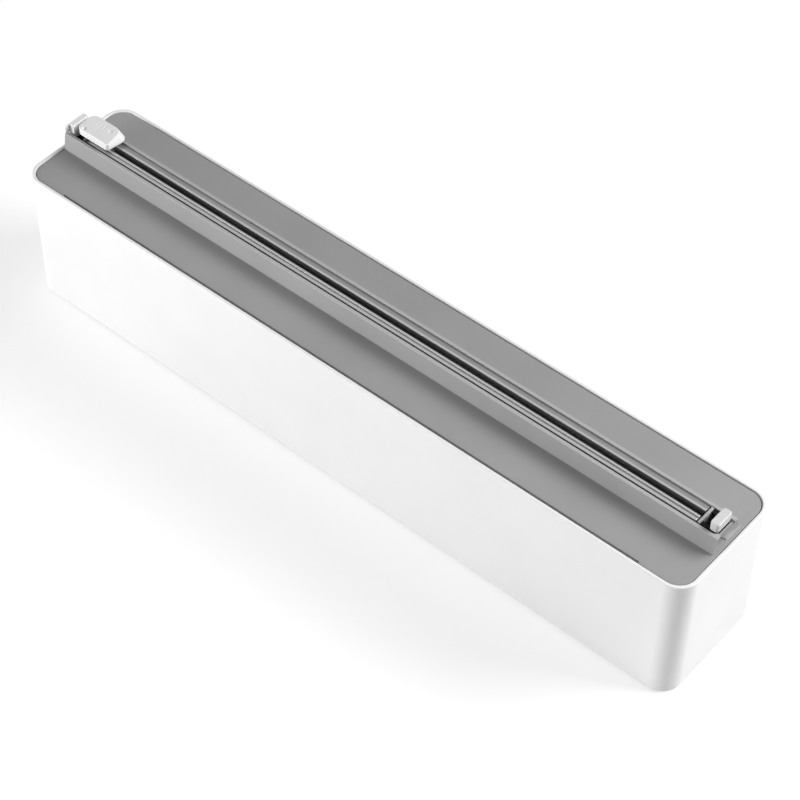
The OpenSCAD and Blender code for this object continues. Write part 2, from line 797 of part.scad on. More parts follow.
module latch_knob() {
    color("white") difference() {
        translate([knob_x0 + knob_l / 2, (bar_y0 + bar_y1) / 2, 0])
            soft_cap(knob_l, knob_w, knob_corner_r, knob_edge_r, knob_base_z, rail_z + knob_rise);
        block(knob_x0 + (knob_l - stem_l) / 2 - screw_fit, knob_x0 + (knob_l + stem_l) / 2 + screw_fit,
            slot_y - stem_w / 2 - screw_fit, slot_y + stem_w / 2 + screw_fit,
            knob_base_z - cut, knob_base_z + knob_rise / 2 + screw_fit);
    }
}

// Return spring: one unbroken tube of wire, straight for one wire diameter at each end
spring_x0 = cross_right_x1 + seat_gap;
spring_x1 = knob_x0 + spring_bore_l - seat_gap;
spring_r = (spring_d - spring_wire) / 2;
spring_run = spring_x1 - spring_x0 - 3 * spring_wire;
spring_steps = spring_turns * spring_rings;
function spring_point(i) = [
    spring_x0 + 1.5 * spring_wire + spring_run * i / spring_steps,
    spring_r * cos(360 * i / spring_rings),
    spring_r * sin(360 * i / spring_rings)
];
spring_path = concat(
    [[spring_x0 + spring_wire / 2, spring_r, -spring_wire]],
    [for (i = [0 : spring_steps]) spring_point(i)],
    [[spring_x1 - spring_wire / 2, spring_r, spring_wire]]
);
echo(least_gap_between_turns = spring_run / spring_turns - spring_wire);

function unit(v) = v / norm(v);
// Ring of points square to the path, its first side turned to the spring's own axis
function ring(path, i, r, sides) =
    let (before = path[max(i - 1, 0)],
         after = path[min(i + 1, len(path) - 1)],
         t = unit(after - before),
         out = unit([0, path[i][1], path[i][2]]),
         u = unit(cross(t, out)),
         v = cross(u, t))
    [for (k = [0 : sides - 1]) path[i] + r * (cos(360 * k / sides) * u + sin(360 * k / sides) * v)];

// Closed tube along a path, each side split into two triangles
module tube(path, r, sides) {
    n = len(path);
    points = [for (i = [0 : n - 1]) each ring(path, i, r, sides)];
    walls = [for (i = [0 : n - 2], k = [0 : sides - 1])
        let (a = i * sides + k, b = i * sides + (k + 1) % sides)
        each [[a, b, b + sides], [a, b + sides, a + sides]]];
    first = [for (k = [1 : sides - 2]) [0, k + 1, k]];
    last = [for (k = [1 : sides - 2]) [(n - 1) * sides, (n - 1) * sides + k, (n - 1) * sides + k + 1]];
    polyhedron(points, concat(walls, first, last));
}

module latch_spring() {
    color("silver") translate([0, slot_y, spring_z]) tube(spring_path, spring_wire / 2, spring_sides);
}

// Ends of the slider's carriage
carriage_x0 = carriage_x - carriage_l / 2;
carriage_x1 = carriage_x + carriage_l / 2;

module slider_carriage() {
    neck_y0 = slot_y0 + neck_side_gap;
    neck_y1 = slot_y1 - neck_side_gap;
    color("gainsboro") difference() {
        union() {
            block(carriage_x0, carriage_x1, neck_y0, neck_y1, bar_bottom_z + neck_below, cap_z0);
            block(carriage_x0, carriage_x1, hollow_y0 + run_gap, hollow_y1 - run_gap,
                hollow_z + run_gap, hollow_top_z - run_gap);
            block(carriage_x0, carriage_x1, slot_y - shoulder_w / 2, slot_y + shoulder_w / 2,
                cap_z0 - shoulder_t, cap_z0);
            for (side = [-1, 1]) {
                translate([carriage_x + side * post_space / 2, slot_y, cap_z0 - cut])
                    cylinder(h = post_h + cut, d = post_d, $fn = small_fn);
            }
        }
        block(carriage_x - blade_l / 2 - blade_fit, carriage_x + blade_l / 2 + blade_fit,
            slot_y - blade_t / 2 - blade_fit, slot_y + blade_t / 2 + blade_fit,
            bar_bottom_z - cut, hollow_z + blade_up + blade_fit);
        blade_pin_cut();
    }
}

// Corners of the cap as [x, y, radius, height of the upright side], its right end drawn in by a length
function cap_corners(drawn_in) = [
    [cap_x0 + cap_left_r, cap_y0 + cap_left_r, cap_left_r, cap_h - cap_edge_r],
    [cap_x0 + cap_left_r, cap_y1 - cap_left_r, cap_left_r, cap_h - cap_edge_r],
    [cap_x1 - drawn_in - cap_back_r, cap_y1 - cap_back_r, cap_back_r, cap_side_h],
    [cap_x1 - drawn_in - cap_front_r, cap_y0 + cap_front_r, cap_front_r, cap_side_h]
];

module slider_cap() {
    color("white") difference() {
        hull() {
            for (c = cap_corners(0)) {
                translate([c[0], c[1], cap_z0]) cylinder(h = c[3], r = c[2], $fn = small_fn);
            }
            for (c = cap_corners(cap_slope_l)) {
                translate([c[0], c[1], cap_z0 + cap_h - cap_edge_r]) rotate_extrude($fn = small_fn)
                    translate([c[2] - cap_edge_r, 0]) intersection() {
                        circle(cap_edge_r, $fn = small_fn);
                        square(cap_edge_r);
                    }
            }
        }
        for (side = [-1, 1]) {
            translate([carriage_x + side * post_space / 2, slot_y, cap_z0 - cut])
                cylinder(h = post_h + cut + seat_gap, d = post_d + 2 * post_fit, $fn = small_fn);
        }
    }
}

// Places of the pins through the carriage's neck and the blade
module at_blade_pins() {
    for (side = [-1, 1]) {
        translate([carriage_x + side * blade_pin_space / 2, slot_y, hollow_z + hollow_h / 2])
            rotate([90, 0, 0]) children();
    }
}

module blade_pin_cut() {
    at_blade_pins() cylinder(h = slot_w - 2 * neck_side_gap + 2 * screw_fit, d = blade_pin_d + 2 * screw_fit,
        center = true, $fn = small_fn);
}

// Blade with a sloping edge to each side, so that it cuts both ways
module blade() {
    tip_z = bar_bottom_z - blade_below;
    top_z = hollow_z + blade_up;
    color("silver") difference() {
        translate([carriage_x, slot_y + blade_t / 2, 0]) rotate([90, 0, 0]) linear_extrude(blade_t) polygon([
            [-blade_l / 2, top_z],
            [-blade_l / 2, hollow_z],
            [-blade_l / 2 * blade_point_share, tip_z],
            [blade_l / 2 * blade_point_share, tip_z],
            [blade_l / 2, hollow_z],
            [blade_l / 2, top_z]
        ]);
        blade_pin_cut();
    }
}

module blade_pins() {
    color("gray") at_blade_pins()
        cylinder(h = slot_w - 2 * neck_side_gap, d = blade_pin_d, center = true, $fn = small_fn);
}

box_shell();
feet();
cradle_left();
cradle_right();
plug_left();
plug_right();
lid_panel();
rail_channel();
rail_screws();
film_pads();
hinge_pin();
pull_tab();
strip_front();
strip_rear();
left_cap();
right_cap();
bar_screws();
hinge_block();
hinge_bed();
hinge_block_screw();
latch_housing();
housing_screws();
latch_bolt();
latch_knob();
latch_spring();
slider_carriage();
slider_cap();
blade();
blade_pins();
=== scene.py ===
# Cling film cutter: finishes, detailed pieces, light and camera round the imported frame.
import math

import bmesh
import bpy
from mathutils import Matrix, Vector


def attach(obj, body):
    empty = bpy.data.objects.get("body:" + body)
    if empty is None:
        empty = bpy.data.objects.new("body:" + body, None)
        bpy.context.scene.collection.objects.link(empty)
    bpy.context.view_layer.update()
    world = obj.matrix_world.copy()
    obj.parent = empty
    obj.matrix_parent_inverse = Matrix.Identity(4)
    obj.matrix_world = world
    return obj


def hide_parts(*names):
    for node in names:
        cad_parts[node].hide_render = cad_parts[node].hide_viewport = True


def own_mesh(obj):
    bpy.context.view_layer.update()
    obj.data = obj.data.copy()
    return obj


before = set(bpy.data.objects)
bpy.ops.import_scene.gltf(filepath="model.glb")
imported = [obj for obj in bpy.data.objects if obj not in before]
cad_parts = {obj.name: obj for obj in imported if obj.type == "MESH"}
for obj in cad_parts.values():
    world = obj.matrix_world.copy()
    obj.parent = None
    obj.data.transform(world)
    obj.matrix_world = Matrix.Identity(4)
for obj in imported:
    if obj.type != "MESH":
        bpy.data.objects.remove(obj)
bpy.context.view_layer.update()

mm = 0.001  # shapes are drawn in millimetres and brought to metres at the end
slack = 0.01  # lengths that differ by less count as the same
weld = 0.002  # corners nearer to each other than this become one
over = 1  # how far a cutting tool passes the face that it opens
bevelFrom = math.radians(40)  # edges that turn more get a bevel
sharpFrom = math.radians(50)  # edges that turn more shade sharp
scene = bpy.context.scene


# shapes, all in millimetres
def block(x, y, z):
    bm = bmesh.new()
    bmesh.ops.create_cube(bm, size=1)
    bmesh.ops.scale(bm, vec=(x[1] - x[0], y[1] - y[0], z[1] - z[0]), verts=bm.verts)
    middle = ((x[0] + x[1]) / 2, (y[0] + y[1]) / 2, (z[0] + z[1]) / 2)
    bmesh.ops.translate(bm, vec=middle, verts=bm.verts)
    return bm


def rod(centre, radius, length, axis="Z", sides=48):
    bm = bmesh.new()
    bmesh.ops.create_cone(bm, cap_ends=True, segments=sides, radius1=radius, radius2=radius,
                          depth=length)
    turn = {"Z": Matrix.Identity(3), "X": Matrix.Rotation(math.pi / 2, 3, "Y"),
            "Y": Matrix.Rotation(math.pi / 2, 3, "X")}[axis]
    bmesh.ops.rotate(bm, cent=(0, 0, 0), matrix=turn, verts=bm.verts)
    bmesh.ops.translate(bm, vec=centre, verts=bm.verts)
    return bm


screwSeat = {"wide": 1.0, "narrow": 0.6, "depth": 0.6, "up": 0.26, "sides": 32}


def countersink(x, y, low):
    # seat of a small screw whose head lies in an underside at that height
    bm = bmesh.new()
    bmesh.ops.create_cone(bm, cap_ends=True, segments=screwSeat["sides"],
                          radius1=screwSeat["wide"], radius2=screwSeat["narrow"],
                          depth=screwSeat["depth"])
    bmesh.ops.translate(bm, vec=(x, y, low + screwSeat["up"]), verts=bm.verts)
    return bm


def near(a, b):
    return abs(a - b) < slack


def roundOff(bm, wanted, radius, segments=6, sharp=0.4):
    # bevels the edges whose faces meet at more than sharp radians and whose two ends are wanted
    edges = [e for e in bm.edges
             if e.calc_face_angle(0) > sharp and wanted(e.verts[0].co, e.verts[1].co)]
    bmesh.ops.bevel(bm, geom=edges, offset=radius, offset_type="OFFSET", segments=segments,
                    profile=0.5, affect="EDGES", clamp_overlap=True, material=-1)


def upright(a, b):
    return near(a.x, b.x) and near(a.y, b.y)


def atHeight(z):
    return lambda a, b: near(a.z, z) and near(b.z, z)


def cornerAt(x, ys):
    # upright edges at that x and at one of those ys
    return lambda a, b: upright(a, b) and near(a.x, x) and any(near(a.y, y) for y in ys)


def slab(length, width, radius, z, segments=12):
    # a block with round upright corners
    bm = block((-length / 2, length / 2), (-width / 2, width / 2), z)
    roundOff(bm, upright, radius, segments)
    return bm


def topFace(bm):
    # the highest face that looks up, and the widest of those at its height
    level = [f for f in bm.faces if f.normal.z > 0.9]
    return max(level, key=lambda f: (f.calc_center_median().z, f.calc_area()))


def sink(bm, face, margin, depth):
    # a ledge of that width round the face, and the face let down inside it
    bmesh.ops.inset_region(bm, faces=[face], thickness=margin, use_boundary=True,
                           use_even_offset=True)
    lowered = bmesh.ops.extrude_discrete_faces(bm, faces=[face])["faces"][0]
    bmesh.ops.translate(bm, vec=(0, 0, -depth), verts=lowered.verts)
    return lowered


def cutAcross(bm, point, normal):
    bmesh.ops.bisect_plane(bm, geom=[*bm.verts, *bm.edges, *bm.faces], dist=0.001,
                           plane_co=point, plane_no=normal)


def hollowRadius(half, depth):
    # radius of the round tool that leaves a hollow of that half width and depth
    return (half ** 2 + depth ** 2) / (2 * depth)


def trough(x, y, top, half, depth, runOut=0.0, rise=1.5):
    # tool for a hollow along Y in a face at height top; over the length runOut each end of it
    # rises out of the face, by rise times the depth
    radius = hollowRadius(half, depth)
    bm = rod((x, (y[0] + y[1]) / 2, top + radius - depth), radius, y[1] - y[0], "Y", sides=128)
    if runOut:
        for cutY in (y[0] + runOut, y[1] - runOut):
            cutAcross(bm, (0, cutY, 0), (0, 1, 0))
        for v in bm.verts:
            if near(v.co.y, y[0]) or near(v.co.y, y[1]):
                v.co.z += rise * depth
    return bm


def stand(bm, name):
    mesh = bpy.data.meshes.new(name)
    bm.to_mesh(mesh)
    bm.free()
    made = bpy.data.objects.new(name, mesh)
    scene.collection.objects.link(made)
    return made


def shaped(bm, cut=(), add=()):
    # takes cut away from bm, then joins add to it
    base = stand(bm, "workpiece")
    helpers = []
    for operation, tools in (("DIFFERENCE", cut), ("UNION", add)):
        for tool in tools:
            helper = stand(tool, "helper")
            step = base.modifiers.new("carve", "BOOLEAN")
            step.operation, step.object, step.solver = operation, helper, "EXACT"
            helpers.append(helper)
    bpy.context.view_layer.update()
    result = bmesh.new()
    result.from_mesh(base.evaluated_get(bpy.context.evaluated_depsgraph_get()).to_mesh())
    for spare in [base, *helpers]:
        mesh = spare.data
        bpy.data.objects.remove(spare)
        bpy.data.meshes.remove(mesh)
    bmesh.ops.remove_doubles(result, verts=result.verts, dist=weld)
    bmesh.ops.dissolve_limit(result, angle_limit=math.radians(0.4), verts=result.verts,
                             edges=result.edges)
    return result


def finished(bm, name, body, nodes, finish, edge=0.0):
    # a piece in metres, with a bevel of that width on the edges that aren't rounded yet
    bmesh.ops.recalc_face_normals(bm, faces=bm.faces)
    bmesh.ops.scale(bm, vec=(mm, mm, mm), verts=bm.verts)
    made = stand(bm, name)
    made.data.polygons.foreach_set("use_smooth", [True] * len(made.data.polygons))
    if edge:
        soft = made.modifiers.new("softEdges", "BEVEL")
        soft.width, soft.segments, soft.limit_method = edge * mm, 3, "ANGLE"
        soft.angle_limit, soft.miter_outer = bevelFrom, "MITER_ARC"
        soft.use_clamp_overlap = True
    made.data.set_sharp_from_angle(angle=sharpFrom)
    flow = made.modifiers.new("flatFaces", "WEIGHTED_NORMAL")
    flow.keep_sharp = True
    made.data.materials.append(finish)
    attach(made, body)
    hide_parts(*nodes)
    return made


# finishes
def newFinish(name):
    finish = bpy.data.materials.new(name)
    finish.use_nodes = True
    return finish, finish.node_tree.nodes, finish.node_tree.links


def objectNoise(nodes, links, scale, detail, stretch=(1, 1, 1)):
    coordinates = nodes.new("ShaderNodeTexCoord")
    mapping = nodes.new("ShaderNodeMapping")
    mapping.inputs["Scale"].default_value = stretch
    noise = nodes.new("ShaderNodeTexNoise")
    noise.inputs["Scale"].default_value = scale
    noise.inputs["Detail"].default_value = detail
    links.new(coordinates.outputs["Object"], mapping.inputs["Vector"])
    links.new(mapping.outputs["Vector"], noise.inputs["Vector"])
    return noise


def ranged(nodes, links, source, low, high, fromLow=0.3, fromHigh=0.7):
    spread = nodes.new("ShaderNodeMapRange")
    for socket, value in (("From Min", fromLow), ("From Max", fromHigh),
                          ("To Min", low), ("To Max", high)):
        spread.inputs[socket].default_value = value
    links.new(source, spread.inputs["Value"])
    return spread.outputs["Result"]


def tinted(nodes, links, factor, first, second):
    # first and second are colours, or sockets that carry one
    blend = nodes.new("ShaderNodeMix")
    blend.data_type = "RGBA"
    for socket, colour in (("A", first), ("B", second)):
        if isinstance(colour, tuple):
            blend.inputs[socket].default_value = (*colour, 1)
        else:
            links.new(colour, blend.inputs[socket])
    links.new(factor, blend.inputs["Factor"])
    return blend.outputs["Result"]


def product(nodes, links, first, second):
    times = nodes.new("ShaderNodeMath")
    times.operation = "MULTIPLY"
    links.new(first, times.inputs[0])
    links.new(second, times.inputs[1])
    return times.outputs[0]


def wornEdges(nodes, links, reach, patches):
    # how far a rounded normal leans from the true one tells an edge from a flat face
    rounded = nodes.new("ShaderNodeBevel")
    rounded.samples = 4
    rounded.inputs["Radius"].default_value = reach * mm
    facing = nodes.new("ShaderNodeNewGeometry")
    likeness = nodes.new("ShaderNodeVectorMath")
    likeness.operation = "DOT_PRODUCT"
    links.new(rounded.outputs["Normal"], likeness.inputs[0])
    links.new(facing.outputs["Normal"], likeness.inputs[1])
    edge = ranged(nodes, links, likeness.outputs["Value"], low=1, high=0, fromLow=0.8, fromHigh=0.99)
    return product(nodes, links, edge, ranged(nodes, links, patches, low=0.25, high=1))


def paintedHighlightMask(nodes, links, low, high):
    # 0 below a height and 1 above it, the mask of a painted highlight that lightens the tops of the
    # rail and strips
    coordinates = nodes.new("ShaderNodeTexCoord")
    parts = nodes.new("ShaderNodeSeparateXYZ")
    links.new(coordinates.outputs["Object"], parts.inputs["Vector"])
    return ranged(nodes, links, parts.outputs["Z"], 0, 1, low * mm, high * mm)


def surfaceColour(nodes, links, settings, cloud, patches):
    colour = tinted(nodes, links, ranged(nodes, links, cloud.outputs["Fac"], 0, 1),
                    settings["colour"], settings["colour2"])
    # painted highlight: faces above a set height are given a lighter colour
    if "paintedHighlight" in settings:
        low, high, paintedHighlightColour = settings["paintedHighlight"]
        colour = tinted(nodes, links, paintedHighlightMask(nodes, links, low, high), colour, paintedHighlightColour)
    if "worn" in settings:
        reach, wornColour = settings["worn"]
        edges = wornEdges(nodes, links, reach, patches.outputs["Fac"])
        colour = tinted(nodes, links, edges, colour, wornColour)
    return colour


def addRelief(nodes, links, shader, height, strength, depth):
    relief = nodes.new("ShaderNodeBump")
    relief.inputs["Strength"].default_value = strength
    relief.inputs["Distance"].default_value = depth * mm
    links.new(height.outputs["Fac"], relief.inputs["Height"])
    links.new(relief.outputs["Normal"], shader.inputs["Normal"])


def mouldedPlastic(name, settings):
    # cloudy pigment, uneven gloss, rubbed edges and the fine grain of the mould, and where set a
    # painted highlight on the tops
    finish, nodes, links = newFinish(name)
    shader = nodes["Principled BSDF"]
    cloud = objectNoise(nodes, links, settings["cloudScale"], detail=3)
    gloss = objectNoise(nodes, links, settings["glossScale"], detail=4)
    grain = objectNoise(nodes, links, settings["grainScale"], detail=2)
    links.new(surfaceColour(nodes, links, settings, cloud, gloss), shader.inputs["Base Color"])
    links.new(ranged(nodes, links, gloss.outputs["Fac"], *settings["roughness"]),
              shader.inputs["Roughness"])
    addRelief(nodes, links, shader, grain, settings["grainStrength"], settings["grainDepth"])
    shader.inputs["Specular IOR Level"].default_value = settings.get("specular", 0.5)
    return finish


def drawnMetal(name, settings):
    # fine lines along the rail over a soft metal sheen, and where set a painted highlight on the
    # tops
    finish, nodes, links = newFinish(name)
    shader = nodes["Principled BSDF"]
    shader.inputs["Metallic"].default_value = settings["metallic"]
    lines = objectNoise(nodes, links, settings["lineScale"], detail=3,
                        stretch=settings["stretch"])
    cloud = objectNoise(nodes, links, settings["cloudScale"], detail=2)
    links.new(surfaceColour(nodes, links, settings, cloud, cloud), shader.inputs["Base Color"])
    links.new(ranged(nodes, links, lines.outputs["Fac"], *settings["roughness"]),
              shader.inputs["Roughness"])
    addRelief(nodes, links, shader, lines, settings["lineStrength"], settings["lineDepth"])
    return finish


def grey(level):
    return (level, level, level)


# worn: reach of the rubbed edges and their colour; the painted highlight on the tops: from a height
# to a height, and its colour
whiteAbs = {"colour": grey(0.84), "colour2": grey(0.88), "roughness": (0.34, 0.44),
            "cloudScale": 18, "glossScale": 60, "grainScale": 900, "grainStrength": 0.12,
            "grainDepth": 0.05, "worn": (0.5, (0.78, 0.78, 0.77))}
whiteTrimAbs = {"colour": grey(0.77), "colour2": grey(0.81), "roughness": (0.36, 0.5),
                "cloudScale": 120, "glossScale": 300, "grainScale": 2200, "grainStrength": 0.15,
                "grainDepth": 0.04, "worn": (0.35, (0.84, 0.84, 0.83))}
# painted shade: the knob is the white trim made darker, standing in for the shade that falls on it
shadedKnobTrimAbs = {**whiteTrimAbs, "colour": grey(0.60), "colour2": grey(0.64), "roughness": (0.34, 0.48),
           "worn": (0.35, (0.76, 0.76, 0.75))}
greyAbs = {"colour": grey(0.30), "colour2": grey(0.34), "roughness": (0.48, 0.62),
           "cloudScale": 22, "glossScale": 90, "grainScale": 1800, "grainStrength": 0.25,
           "grainDepth": 0.06, "worn": (0.35, grey(0.42)), "paintedHighlight": (72.65, 72.95, grey(0.41))}
stripAlloy = {"colour": grey(0.26), "colour2": grey(0.30), "roughness": (0.34, 0.5),
              "metallic": 0.6, "cloudScale": 40, "lineScale": 900, "stretch": (0.02, 1, 1),
              "lineStrength": 0.2, "lineDepth": 0.02, "worn": (0.2, grey(0.46)),
              "paintedHighlight": (72.6, 72.9, grey(0.43))}
brightSteel = {"colour": (0.55, 0.55, 0.56), "colour2": (0.65, 0.65, 0.66),
               "roughness": (0.2, 0.34), "metallic": 1.0, "cloudScale": 200, "lineScale": 2500,
               "stretch": (0.1, 1, 1), "lineStrength": 0.15, "lineDepth": 0.01,
               "worn": (0.15, grey(0.75))}
oiledSteel = {**brightSteel, "colour": grey(0.02), "colour2": grey(0.04), "roughness": (0.45, 0.6),
              "worn": (0.15, grey(0.07))}
paleNylon = {"colour": (0.62, 0.62, 0.6), "colour2": (0.68, 0.68, 0.66), "roughness": (0.42, 0.55),
             "cloudScale": 70, "glossScale": 200, "grainScale": 1500, "grainStrength": 0.15,
             "grainDepth": 0.04, "worn": (0.3, (0.74, 0.74, 0.72))}
# painted shade: near black, standing in for the deep shade in the latch housing, round the bolt and
# in the hinge bed
paintedShadeNylon = {"colour": grey(0.008), "colour2": grey(0.014), "roughness": (0.5, 0.65),
             "cloudScale": 150, "glossScale": 300, "grainScale": 2000, "grainStrength": 0.2,
             "grainDepth": 0.04, "specular": 0.08, "worn": (0.2, grey(0.02))}
filmPadFoam = {"colour": grey(0.09), "colour2": grey(0.12), "roughness": (0.8, 0.95),
               "cloudScale": 90, "glossScale": 300, "grainScale": 2600, "grainStrength": 0.6,
               "grainDepth": 0.1, "specular": 0.2}
footRubber = {"colour": grey(0.36), "colour2": grey(0.42), "roughness": (0.7, 0.85),
              "cloudScale": 150, "glossScale": 300, "grainScale": 1800, "grainStrength": 0.4,
              "grainDepth": 0.08, "specular": 0.3}

whiteShell = mouldedPlastic("whiteShell", whiteAbs)
whiteTrim = mouldedPlastic("whiteTrim", whiteTrimAbs)
shadedKnobTrim = mouldedPlastic("shadedKnobTrim", shadedKnobTrimAbs)
greyLid = mouldedPlastic("greyLid", greyAbs)
stripMetal = drawnMetal("stripMetal", stripAlloy)
steel = drawnMetal("steel", brightSteel)
darkSteel = drawnMetal("darkSteel", oiledSteel)
nylon = mouldedPlastic("nylon", paleNylon)
paintedShadeBlack = mouldedPlastic("paintedShadeBlack", paintedShadeNylon)
softPad = mouldedPlastic("softPad", filmPadFoam)
footPad = mouldedPlastic("footPad", footRubber)
print("finishes ready")

# the latch bolt, hinge bed and latch housing take the near-black painted shade
nodeFinish = {
    "feet": footPad, "cradle_left": nylon, "cradle_right": nylon, "plug_left": nylon,
    "plug_right": nylon, "rail_screws": steel, "film_pads": softPad, "hinge_pin": steel,
    "bar_screws": steel, "hinge_block_screw": steel, "housing_screws": steel,
    "latch_bolt": paintedShadeBlack, "latch_spring": darkSteel, "slider_carriage": nylon, "blade": steel,
    "blade_pins": steel, "box_shell": whiteShell, "lid_panel": greyLid, "rail_channel": greyLid,
    "pull_tab": greyLid, "strip_front": stripMetal, "strip_rear": stripMetal,
    "left_cap": greyLid, "right_cap": greyLid, "hinge_block": whiteTrim, "hinge_bed": paintedShadeBlack,
    "latch_housing": paintedShadeBlack, "latch_knob": shadedKnobTrim, "slider_cap": whiteTrim,
}
for nodeName, finish in nodeFinish.items():
    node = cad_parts[nodeName]
    if not node.material_slots:
        node.data.materials.append(finish)
    for slot in node.material_slots:
        slot.material = finish

# box: a shell with a ledge for the lid, ribs beside the cradles and seats for the foot pads
box = {"length": 340, "width": 59, "corner": 9.2, "bottom": 0.3, "rim": 65.5, "underEdge": 1.5,
       "rimRound": 0.45, "rimWall": 1.6, "wall": 2.4, "ledge": 62.3, "floor": 2.5,
       "ribX": 162.6, "ribY": 13.05, "ribThick": 1.6, "ribTop": 39,
       "reliefHalf": 150, "reliefDepth": 4, "reliefZ": (53.3, 62.8),
       "footX": 155, "footY": 14.5, "seatRadius": 6.05, "seatDepth": 0.8}

bm = slab(box["length"], box["width"], box["corner"], (box["bottom"], box["rim"]),
          segments=20)
roundOff(bm, atHeight(box["bottom"]), box["underEdge"], segments=8)
floorFace = sink(bm, topFace(bm), box["rimWall"], box["rim"] - box["ledge"])
sink(bm, floorFace, box["wall"] - box["rimWall"], box["ledge"] - box["floor"])
roundOff(bm, atHeight(box["rim"]), box["rimRound"], segments=4)
ribs, seats = [], []
for sideX in (-1, 1):
    for sideY in (-1, 1):
        ribX = sorted((sideX * box["ribX"], sideX * (box["length"] / 2 - box["wall"] / 2)))
        ribY = sorted((sideY * box["ribY"], sideY * (box["ribY"] + box["ribThick"])))
        ribs.append(block(ribX, ribY, (box["floor"] - over, box["ribTop"])))
        seats.append(rod((sideX * box["footX"], sideY * box["footY"], box["bottom"]),
                         box["seatRadius"], 2 * box["seatDepth"]))
frontY = -box["width"] / 2
reliefX = (-box["reliefHalf"], box["reliefHalf"])
relief = block(reliefX, (frontY + box["rimWall"], frontY + box["reliefDepth"]), box["reliefZ"])
bm = shaped(bm, cut=[relief, *seats], add=ribs)
finished(bm, "boxShell", "box", ["box_shell"], whiteShell)
print("box made")

# lid: it sits closer to the rim at its back left, and the film slot opens its front edge
lid = {"length": 336.1, "width": 55.1, "corner": 7.25, "under": 62.3, "top": 65.05, "edge": 0.15,
       "closer": 0.26, "slotHalf": 148, "slotRear": -26.75, "outside": -40,
       "skirtLength": 334.4, "skirtWidth": 53.4, "skirtCorner": 6.4, "skirtWall": 1.4,
       "skirtLow": 58.3, "ribY": (-21.55, -19.95), "ribInto": 0.5, "bossX": 66,
       "bossY": (4.4, -1.95), "bossRadius": 2.5, "bossLength": 5, "bossDrop": 1.5}

bm = slab(lid["length"], lid["width"], lid["corner"], (lid["under"], lid["top"]), segments=16)
backFrom = lid["width"] / 2 - lid["corner"] - slack
for v in bm.verts:
    if v.co.y > backFrom:
        v.co.y += lid["closer"] * (0.5 - v.co.x / lid["length"])
slotX = (-lid["slotHalf"], lid["slotHalf"])
slotCutter = block(slotX, (lid["outside"], lid["slotRear"]),
                   (lid["under"] - over, lid["top"] + over))
bm = shaped(bm, cut=[slotCutter])
roundOff(bm, atHeight(lid["top"]), lid["edge"], segments=4)
skirt = slab(lid["skirtLength"], lid["skirtWidth"], lid["skirtCorner"],
             (lid["skirtLow"], lid["under"] + over))
hollow = slab(lid["skirtLength"] - 2 * lid["skirtWall"], lid["skirtWidth"] - 2 * lid["skirtWall"],
              lid["skirtCorner"] - lid["skirtWall"], (lid["skirtLow"] - over, lid["under"]))
gateCutter = block(reliefX, (lid["outside"], lid["ribY"][0]),
                   (lid["skirtLow"] - over, lid["under"]))
skirt = shaped(skirt, cut=[hollow, gateCutter])
rib = block(slotX, lid["ribY"], (lid["skirtLow"], lid["under"] + lid["ribInto"]))
bosses = [rod((i * lid["bossX"], lid["bossY"][i % 2], lid["under"] - lid["bossDrop"]),
              lid["bossRadius"], lid["bossLength"]) for i in range(-2, 3)]
bm = shaped(bm, add=[skirt, rib, *bosses])
finished(bm, "lidPanel", "lid", ["lid_panel"], greyLid)
print("lid made")

# rail: a channel whose front wall widens towards its foot
rail = {"x": (-168.05, 166.75), "y": (-5.65, 7.35), "z": (64.6, 73.2), "flare": 1.4,
        "inner": (-4.35, 6.15), "floor": 65.5, "openEnd": 5, "above": 80, "endWall": 1.3,
        "innerCorner": 1.7, "grooveY": (0.35, 1.95), "grooveDepth": 0.5,
        "windowY": (-1.1, 3.4), "windowZ": (68.15, 70.85), "pinX": -166.15, "pinZ": 69.0,
        "pinRadius": 0.92, "pinDepth": 8, "sunk": 0.05, "dishX": 165.7, "dishY": (-3.25, 5.65),
        "dishHalf": 2.9, "dishDepth": 0.75, "edge": 0.25}
sunkTop = rail["z"][1] - rail["sunk"]

# ear: a thin cheek that closes the rail's left end in front of the hinge block; it takes the white
# trim, lighter than the grey rail it belongs to, which paints light onto its shaded inner face
ear = {"thick": 0.8, "rear": -3.45, "top": 77.1, "frontTop": 76.3, "edge": 0.15}
bm = block((rail["x"][0], rail["x"][0] + ear["thick"]), (rail["y"][0], ear["rear"]),
           (sunkTop, ear["top"]))
for v in bm.verts:
    if near(v.co.y, rail["y"][0]) and near(v.co.z, ear["top"]):
        v.co.z = ear["frontTop"]
finished(bm, "railEar", "lid", ["rail_channel"], whiteTrim, ear["edge"])

bm = block(rail["x"], rail["y"], rail["z"])
for v in bm.verts:
    if near(v.co.y, rail["y"][0]) and near(v.co.z, rail["z"][0]):
        v.co.y -= rail["flare"]
channelX = (rail["x"][0] - rail["openEnd"], rail["x"][1] - rail["endWall"])
channel = block(channelX, rail["inner"], (rail["floor"], rail["above"]))
roundOff(channel, cornerAt(channelX[1], rail["inner"]), rail["innerCorner"], segments=8)
groove = block(channelX, rail["grooveY"],
               (rail["floor"] - rail["grooveDepth"], rail["floor"] + over))
window = block((channelX[1] - over, rail["x"][1] + over), rail["windowY"], rail["windowZ"])
pinHole = rod((rail["pinX"], rail["inner"][1], rail["pinZ"]), rail["pinRadius"],
              rail["pinDepth"], "Y", sides=32)
bm = shaped(bm, cut=[channel, groove, window, pinHole])
# the end wall's top is dished beside the knob, in one sweep with the pull tab
endDish = trough(rail["dishX"], rail["dishY"], sunkTop, rail["dishHalf"], rail["dishDepth"])
bm = shaped(bm, cut=[endDish])
finished(bm, "railChannel", "lid", ["rail_channel"], greyLid, rail["edge"])
print("rail made")

